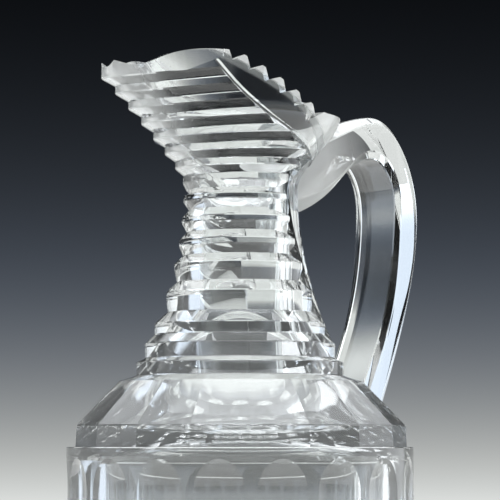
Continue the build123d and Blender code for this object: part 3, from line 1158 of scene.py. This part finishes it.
@dataclass(frozen=True)
class Handle:
    """The strap handle, drawn hot from the shoulder to the mouth."""

    jug: Jug
    sizes: StrapSizes = StrapSizes()

    def lines(self) -> tuple[SmoothLine, SmoothLine, SmoothLine, SmoothLine]:
        """Return the outer and inner lines of the bow, then of the tongue."""
        jug, sizes = self.jug, self.sizes
        body, mouth = jug.body, jug.mouth
        lean = math.radians(sizes.foot_lean)
        along, across = (math.sin(lean), math.cos(lean)), (math.cos(lean), -math.sin(lean))
        slope = (body.band_radius - body.shoulder_radius) / body.shoulder_height
        foot = (body.band_radius - slope * sizes.foot_rise - sizes.foot_sink,
                body.shoulder_foot + sizes.foot_rise)
        bow_z = jug.mouth_foot - sizes.bow_drop
        top, crook = jug.back + sizes.top_rise, mouth.radius + sizes.crook_reach
        under = top - sizes.crook_depth

        def bowed(half: float, bow: float, end: float, swell: Pair, turn: Pair) -> SmoothLine:
            """Return one side of the bow.

            Args:
                half: how far the foot lies outside the strap's middle.
                bow: x at the widest place.
                end: the crook's height.
                swell: the point low on the bow.
                turn: the point high on the bow.

            Returns:
                The line from the foot to the crook.
            """
            start = (foot[0] + across[0] * half, foot[1] + across[1] * half)
            low = (start[0] + (bow - start[0]) * swell[0], foot[1] + (bow_z - foot[1]) * swell[1])
            high = (bow - turn[0], end - (end - bow_z) * turn[1])
            return SmoothLine((start, low, (bow, bow_z), high, (crook, end)), along, (-1, 0))

        half, bow = sizes.thickness / 2, body.radius + sizes.overhang
        tongue_outer = SmoothLine((
            (crook, top), (mouth.radius, jug.back - sizes.tongue_dip),
            (jug.neck.radius + sizes.tongue_end[0], jug.back - sizes.tongue_end[1]),
        ), (-1, 0), (-1, sizes.tongue_slopes[0]))
        tongue_inner = SmoothLine((
            (crook, under), (mouth.radius - sizes.bulge_inset, jug.mouth_foot + sizes.bulge_rise),
            (jug.neck.radius - sizes.tongue_bury, jug.mouth_foot - sizes.tongue_drop),
        ), (-1, 0), (-1, sizes.tongue_slopes[1]))
        return (bowed(half, bow, top, sizes.outer_swell, sizes.outer_turn),
                bowed(-half, bow - sizes.thickness, under, sizes.inner_swell, sizes.inner_turn),
                tongue_outer, tongue_inner)

    def section(self, outer: Pair, inner: Pair, width: float, bevel: float) -> list[Vector]:
        """Return the strap's bevelled cross-section with softened arrises.

        Args:
            outer: (x, z) on the outside of the bow.
            inner: (x, z) on the inside of the bow.
            width: the strap's width.
            bevel: the reach of the cut along each edge.

        Returns:
            Points round the section.
        """
        origin = Vector((inner[0], 0, inner[1]))
        across = Vector((outer[0], 0, outer[1])) - origin
        span = across.length
        across.normalize()
        # two cuts and a flat fit across the strap, and two roundings and a flat along each side
        cuts_across, most_of_side = 2.2, 0.3
        half, cut = width / 2, min(bevel, span / cuts_across)
        corners = [
            (-half, cut), (-half, span - cut), (cut - half, span), (half - cut, span),
            (half, span - cut), (half, cut), (half - cut, 0), (cut - half, 0)]
        points: list[Vector] = []
        for number, corner in enumerate(corners):
            for other in (corners[number - 1], corners[(number + 1) % len(corners)]):
                share = min(most_of_side, self.sizes.softening / math.dist(corner, other))
                y = corner[0] + (other[0] - corner[0]) * share
                depth = corner[1] + (other[1] - corner[1]) * share
                points.append(origin + Vector((0, y, 0)) + across * depth)
        return points

    def strap(self) -> Piece:
        """Build the whole strap, which still runs into the jug at both ends."""
        sizes, bow, tongue = self.sizes, 84, 36
        outer, inner, tongue_outer, tongue_inner = self.lines()
        lean = math.radians(sizes.foot_lean)
        pairs = list(zip(outer.drawn(bow), inner.drawn(bow)))
        buried = [
            (x - math.sin(lean) * sizes.foot_bury, z - math.cos(lean) * sizes.foot_bury) for x, z in pairs[0]]
        rows = [self.section(*ends, sizes.width, sizes.bevel) for ends in (buried, *pairs)]
        tongue_pairs = list(zip(tongue_outer.drawn(tongue), tongue_inner.drawn(tongue)))
        for n in range(1, tongue + 1):
            share = n / tongue
            rows.append(self.section(
                *tongue_pairs[n], sizes.width - (sizes.width - sizes.tongue_width) * share,
                sizes.bevel + (sizes.tongue_bevel - sizes.bevel) * share))
        return self.jug.shop.grid("handle", rows)

    def fuse(self, body: Piece, strap: Piece, joint: Material) -> None:
        """Make the jug and the strap meet face to face, with the joint's faces marked on both.

        The jug keeps its own surface; only the part that the strap covers gets the joint's material.

        Args:
            body: the jug's outside as a solid.
            strap: the strap, which runs into the jug.
            joint: the material inside the hot joint.
        """
        shop, glass, same_place = self.jug.shop, self.jug.glass, 2e-6
        shop.marked(body, glass)
        shop.marked(strap, joint)
        open_part, patch = shop.copy(body, "open_part"), shop.copy(body, "patch")
        shop.combine(open_part, strap, Operation.CUT)
        shop.combine(patch, strap, Operation.KEEP)
        whole = bmesh.new()
        for source, is_patch in ((open_part, False), (patch, True)):
            names = [slot.name for slot in source.data.materials]
            part = bmesh.new()
            part.from_mesh(source.data)
            gone = [face for face in part.faces if names[face.material_index] == joint.name]
            bmesh.ops.delete(part, geom=gone, context="FACES")
            for face in part.faces:
                face.material_index = int(is_patch)
            part.to_mesh(source.data)
            part.free()
            whole.from_mesh(source.data)
        bmesh.ops.remove_doubles(whole, verts=whole.verts, dist=same_place)
        loose = sum(1 for edge in whole.edges if len(edge.link_faces) != 2)
        LOG.info("jug with its joint marked: %d faces, %d open edges", len(whole.faces), loose)
        whole.to_mesh(body.data)
        whole.free()
        body.data.materials.clear()
        body.data.materials.append(glass)
        body.data.materials.append(joint)
        body.data.update()
        shop.marked(strap, glass)
        tool = shop.copy(body, "joint_tool")
        shop.marked(tool, joint)
        shop.combine(strap, tool, Operation.CUT)


# ---------------------------------------------------------------- glass


@dataclass(frozen=True)
class HighlightHaze:
    """A part of the glass that scatters some of the light, as a painted highlight that whitens it.

    Places are in metres along direction: the painted highlight is absent at off and full at on, where it
    scatters the given share of the light. It is left out below the height in metres given as above, if any.
    """

    direction: Triple
    off: float
    on: float
    share: float
    above: float | None = None
    soft: float = 0.008

    def amount(self, wires: Wiring, place: Socket, height: Socket) -> Socket:
        """Return the share of light that is scattered at a place.

        Args:
            wires: adds to the material's nodes.
            place: the point's place.
            height: the point's height.

        Returns:
            The share as a number.
        """
        along = wires.add("ShaderNodeVectorMath", {0: place, 1: self.direction}, operation="DOT_PRODUCT")
        # painted highlight: the share of white scattering, from none at off to full at on
        amount = wires.ramp(along["Value"], self.off, self.on, 0.0, self.share)
        if self.above is None:
            return amount
        return wires.math("MULTIPLY", amount, wires.ramp(height, self.above, self.above + self.soft))


@dataclass(frozen=True)
class GlassFinish:
    """Clear lead glass, cut and polished by hand.

    ripple is the depth in metres of the wheel's waviness, ripple_size its count per metre, and
    ripple_stretch what squeezes the count along each axis.
    wear is the roughness that the table leaves in the worn zone, between two heights in metres.
    tint and deep_tint are the colours light takes at each surface; they drift slowly through the glass.
    clearness is the share of light that goes through where no painted highlight haze lies.
    """

    name: str
    ripple: float
    ripple_size: float
    highlight_hazes: tuple[HighlightHaze, ...]
    ripple_stretch: Triple = (1.0, 1.0, 0.35)
    ripple_detail: float = 1.5
    ripple_fade: float = 0.35
    wear: float = 0.0
    worn_zone: Pair = (0.0004, 0.0018)
    tint: Triple = (0.985, 0.995, 0.99)
    deep_tint: Triple = (0.955, 0.98, 0.975)
    drift_size: float = 22.0
    drift_detail: float = 2.0
    clearness: float = 0.993
    refraction: float = 1.54

    def build(self) -> Material:
        """Build the material's nodes and return it."""
        material = bpy.data.materials.new(self.name)
        material.use_nodes = True
        wires = Wiring(material.node_tree)
        place = wires.add("ShaderNodeTexCoord")["Object"]
        height = wires.add("ShaderNodeSeparateXYZ", {0: place})["Z"]
        drift = wires.add("ShaderNodeTexNoise", {
            "Vector": place, "Scale": self.drift_size, "Detail": self.drift_detail})
        upright = wires.add("ShaderNodeMapping", {"Vector": place, "Scale": self.ripple_stretch})["Vector"]
        wave = wires.add("ShaderNodeTexNoise", {
            "Vector": upright, "Scale": self.ripple_size, "Detail": self.ripple_detail,
            "Roughness": self.ripple_fade})["Fac"]
        bump = wires.add("ShaderNodeBump", {"Strength": 1.0, "Distance": self.ripple, "Height": wave})
        clear: float | Socket = self.clearness
        # painted highlight: each haze takes a share of the light that goes through and scatters it white
        # instead
        for haze_patch in self.highlight_hazes:
            left = wires.math("SUBTRACT", 1.0, haze_patch.amount(wires, place, height))
            clear = wires.math("MULTIPLY", clear, left)
        wires.feed(material.node_tree.nodes["Principled BSDF"], {
            "Base Color": wires.blend(drift["Fac"], self.tint, self.deep_tint),
            "Normal": bump["Normal"],
            "Roughness": wires.ramp(height, *self.worn_zone, self.wear, 0.0) if self.wear else 0.0,
            "IOR": self.refraction,
            "Transmission Weight": clear})
        return material


@dataclass(frozen=True)
class JointFinish:
    """The inside of the hot joint, where two pieces are one glass and nothing is seen."""

    name: str = "hot_joint"
    tint: Triple = (0.93, 0.96, 0.95)

    def build(self) -> Material:
        """Build the material's nodes and return it."""
        material = bpy.data.materials.new(self.name)
        material.use_nodes = True
        shader = material.node_tree.nodes["Principled BSDF"]
        Wiring(material.node_tree).feed(shader, {"Base Color": (*self.tint, 1.0), "Alpha": 0.0})
        return material


# ---------------------------------------------------------------- studio


@dataclass(frozen=True)
class SoftLight:
    """A large soft light, seen only in glass.

    Angles are in degrees: azimuth is 0 towards +Y and 90 towards +X. through is its level for light that
    comes through glass, mirrored its level for light that glass mirrors.
    """

    azimuth: float
    half_width: float
    low: float
    high: float
    soft: float
    through: float = 0.0
    mirrored: float = 0.0
    tint: Triple = (0.95, 0.985, 1.02)

    def added(self, wires: Wiring, base: Socket, glow: Socket, level: float) -> Socket:
        """Return a colour with the light's tinted glow added at a level."""
        red, green, blue = self.tint
        return wires.blend(glow, base, (red * level, green * level, blue * level), "ADD")

    def glow(self, wires: Wiring, direction: Sockets) -> Socket:
        """Return 1 inside the light and 0 outside it.

        Args:
            wires: adds to the world's nodes.
            direction: the X, Y and Z of a direction.

        Returns:
            The glow as a number.
        """
        def cosine(angle: float) -> float:
            """Return the cosine of an angle held between 0 and 180 degrees."""
            return math.cos(math.radians(min(180.0, max(0.0, angle))))

        def sine(angle: float) -> float:
            """Return the sine of an angle held between -90 and 90 degrees."""
            return math.sin(math.radians(min(90.0, max(-90.0, angle))))

        wide, soft, turn, height = self.half_width, self.soft, math.radians(self.azimuth), direction["Z"]
        flat = wires.add("ShaderNodeCombineXYZ", {"X": direction["X"], "Y": direction["Y"]})[0]
        unit = wires.add("ShaderNodeVectorMath", {0: flat}, operation="NORMALIZE")[0]
        facing = wires.add(
            "ShaderNodeVectorMath", {0: unit, 1: (math.sin(turn), math.cos(turn), 0.0)},
            operation="DOT_PRODUCT")["Value"]
        edges = [(height, sine(self.low - soft), sine(self.low + soft))]
        if wide < 180.0:
            edges.append((facing, cosine(wide + soft), cosine(wide - soft)))
        if self.high < 90.0:
            edges.append((height, sine(self.high + soft), sine(self.high - soft)))
        glow, *others = (wires.ramp(*edge, how="SMOOTHSTEP") for edge in edges)
        for other in others:
            glow = wires.math("MULTIPLY", glow, other)
        return glow


@dataclass(frozen=True)
class Studio:
    """Floor, light all round and camera.

    The backdrop is pale at the horizon and below, and falls away to near black above. The camera's
    azimuth is in degrees from -Y towards -X; its lengths are in metres.
    """

    horizon_level: float = 0.42
    falling_rate: float = 27.5
    brightest: float = 0.78
    brightest_ease: float = 0.12
    darkest: float = 0.004
    low_tint: Triple = (0.99, 1.02, 1.0)
    high_tint: Triple = (0.80, 0.95, 1.20)
    tint_heights: Pair = (-0.01, 0.08)
    plain_level: float = 1.0
    floor_radius: float = 0.9
    floor_sides: int = 96
    floor_roughness: float = 0.8
    floor_grain: float = 900.0
    floor_tones: tuple[Triple, Triple] = ((0.72, 0.74, 0.73), (0.76, 0.77, 0.76))
    floor_glow: float = 1.08
    floor_gleam: float = 2.5
    camera_azimuth: float = 33.5
    camera_distance: float = 0.917
    camera_height: float = 0.112
    aim_height: float = 0.1769
    aim_right: float = 0.0033
    lens: float = 200.5
    clip: Pair = (0.05, 50.0)
    bounces_in_glass: int = 28
    bounces_in_joint: int = 16
    lights: tuple[SoftLight, ...] = (
        SoftLight(-38.5, 36.0, -15.0, 30.0, 6.0, through=1.0, tint=(0.84, 0.95, 1.10)),
        SoftLight(-62.5, 16.0, 30.0, 60.0, 6.0, through=1.0, tint=(0.84, 0.95, 1.10)),
        SoftLight(103.5, 32.0, -15.0, 60.0, 6.0, through=1.15),
        SoftLight(-66.5, 22.0, -15.0, 30.0, 5.0, mirrored=0.9),
        SoftLight(101.5, 25.0, -15.0, 30.0, 5.0, mirrored=1.5),
        SoftLight(213.5, 56.0, 35.0, 56.0, 6.0, through=0.5),
        SoftLight(213.5, 200.0, 56.0, 120.0, 6.0, through=1.2),
        SoftLight(213.5, 200.0, 32.0, 64.0, 5.0, mirrored=2.2),
        SoftLight(213.5, 200.0, 64.0, 120.0, 5.0, mirrored=5.5),
    )

    def rays(self) -> None:
        """Let light pass through all the glass, and show it with plain tones."""
        scene = bpy.context.scene
        scene.view_settings.view_transform = "Standard"
        scene.cycles.max_bounces = scene.cycles.transmission_bounces = self.bounces_in_glass
        scene.cycles.transparent_max_bounces = self.bounces_in_joint

    def backdrop(self, wires: Wiring, height: Socket) -> Socket:
        """Return the backdrop's colour at the sine of an elevation.

        Args:
            wires: adds to the world's nodes.
            height: the sine of the elevation.

        Returns:
            The colour.
        """
        falling = wires.math("MULTIPLY", height, -self.falling_rate)
        level = wires.math("MULTIPLY", wires.math("EXPONENT", falling), self.horizon_level)
        level = wires.math("SMOOTH_MIN", level, self.brightest, self.brightest_ease)
        level = wires.math("MAXIMUM", level, self.darkest)
        share = wires.ramp(height, *self.tint_heights, how="SMOOTHSTEP")
        tint = wires.blend(share, self.low_tint, self.high_tint)
        return wires.add("ShaderNodeVectorMath", {0: tint, "Scale": level}, operation="SCALE")["Vector"]

    def world(self) -> None:
        """Build the light all round: what the lens sees, what glass shows and what lights matt things."""
        world = bpy.data.worlds.new("studio")
        bpy.context.scene.world = world
        world.use_nodes = True
        world.node_tree.nodes.clear()
        wires = Wiring(world.node_tree)
        direction = wires.add("ShaderNodeSeparateXYZ", {0: wires.add("ShaderNodeTexCoord")["Generated"]})
        seen = through = mirrored = self.backdrop(wires, direction["Z"])
        for light in self.lights:
            glow = light.glow(wires, direction)
            if light.through:
                through = light.added(wires, through, glow, light.through)
            if light.mirrored:
                mirrored = light.added(wires, mirrored, glow, light.mirrored)
        path = wires.add("ShaderNodeLightPath")
        result = wires.add("ShaderNodeBackground", {"Color": (1, 1, 1, 1), "Strength": self.plain_level})[0]
        for share, colour in (
                (path["Is Transmission Ray"], through), (wires.mirrored(path), mirrored),
                (path["Is Camera Ray"], seen)):
            light = wires.add("ShaderNodeBackground", {"Color": colour})[0]
            result = wires.add("ShaderNodeMixShader", {0: share, 1: result, 2: light})[0]
        wires.add("ShaderNodeOutputWorld", {"Surface": result})

    def floor(self) -> None:
        """Build the pale floor under the jug, which shines by itself where glass shows it."""
        mesh = bpy.data.meshes.new("floor")
        sheet = bmesh.new()
        bmesh.ops.create_circle(sheet, cap_ends=True, radius=self.floor_radius, segments=self.floor_sides)
        sheet.to_mesh(mesh)
        sheet.free()
        ground = bpy.data.objects.new("floor", mesh)
        bpy.context.scene.collection.objects.link(ground)
        paint = bpy.data.materials.new("floor_paper")
        paint.use_nodes = True
        wires, nodes = Wiring(paint.node_tree), paint.node_tree.nodes
        place = wires.add("ShaderNodeTexCoord")["Object"]
        grain = wires.add("ShaderNodeTexNoise", {"Vector": place, "Scale": self.floor_grain})["Fac"]
        tone = wires.blend(grain, *self.floor_tones)
        wires.feed(nodes["Principled BSDF"], {"Roughness": self.floor_roughness, "Base Color": tone})
        path = wires.add("ShaderNodeLightPath")
        strength = wires.math(
            "MULTIPLY_ADD", wires.mirrored(path), self.floor_gleam - self.floor_glow, self.floor_glow)
        lit = wires.add("ShaderNodeEmission", {"Color": tone, "Strength": strength})[0]
        in_glass = wires.math("MAXIMUM", path["Is Glossy Ray"], path["Is Transmission Ray"])
        matt = nodes["Principled BSDF"].outputs[0]
        mixed = wires.add("ShaderNodeMixShader", {0: in_glass, 1: matt, 2: lit})[0]
        wires.feed(nodes["Material Output"], {"Surface": mixed})
        ground.data.materials.append(paint)

    def camera(self) -> None:
        """Place the camera low beside the lip, a long way off."""
        turn = math.radians(self.camera_azimuth)
        data = bpy.data.cameras.new("camera")
        data.lens = self.lens
        data.clip_start, data.clip_end = self.clip
        made = bpy.data.objects.new("camera", data)
        bpy.context.scene.collection.objects.link(made)
        away = self.camera_distance
        made.location = (-math.sin(turn) * away, -math.cos(turn) * away, self.camera_height)
        aim = Vector((math.cos(turn) * self.aim_right, -math.sin(turn) * self.aim_right, self.aim_height))
        made.rotation_euler = (aim - made.location).to_track_quat("-Z", "Y").to_euler()
        bpy.context.scene.camera = made


# ---------------------------------------------------------------- assembly


def polish_normals(piece: Piece, sharpest: float = 9.0) -> None:
    """Shade a piece smooth, with a hard edge wherever two cuts meet at more than an angle in degrees."""
    piece.data.shade_smooth()
    piece.data.set_sharp_from_angle(angle=math.radians(sharpest))


def main() -> None:
    """Build the jug, its handle, the studio and the camera."""
    logging.basicConfig(level=logging.INFO, format="%(name)s: %(message)s")
    # painted highlight: the hazes whiten the body and shoulder, fading out up the neck, the back of the mouth
    # by the handle, and the lip
    glass = GlassFinish("cut_glass", ripple=0.00004, ripple_size=45.0, wear=0.12, highlight_hazes=(
        HighlightHaze((0.0, 0.0, 1.0), 0.19, 0.13, 0.08),
        HighlightHaze((0.63, 0.0, 1.0), 0.2232, 0.2242, 0.5, above=0.195),
        HighlightHaze((-0.77, 0.0, -0.64), -0.119, -0.113, 0.32, above=0.195))).build()
    # painted highlight: the strap's haze whitens its tongue, where it meets the mouth
    strap_glass = GlassFinish("strap_glass", ripple=0.00014, ripple_size=70.0, highlight_hazes=(
        HighlightHaze((1.0, 0.0, 0.25), 0.1, 0.08, 0.5, above=0.17),)).build()
    jug = Jug(Workshop(), glass)
    handle = Handle(jug)
    body, strap = jug.outside(), handle.strap()
    handle.fuse(body, strap, JointFinish().build())
    jug.hollow(body)
    for number, slot in enumerate(strap.data.materials):
        if slot.name == glass.name:
            strap.data.materials[number] = strap_glass
    for piece, node, slot in ((body, "jug_body", "jug_glass"), (strap, "strap_handle", "handle_glass")):
        polish_normals(piece)
        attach(piece, "root")
        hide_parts(node)
        LOG.info("%s: %d faces", piece.name, len(piece.data.polygons))
    jug.shop.clear_away(body, strap)
    studio = Studio()
    studio.rays()
    studio.world()
    studio.floor()
    studio.camera()


if __name__ == "__main__":
    main()
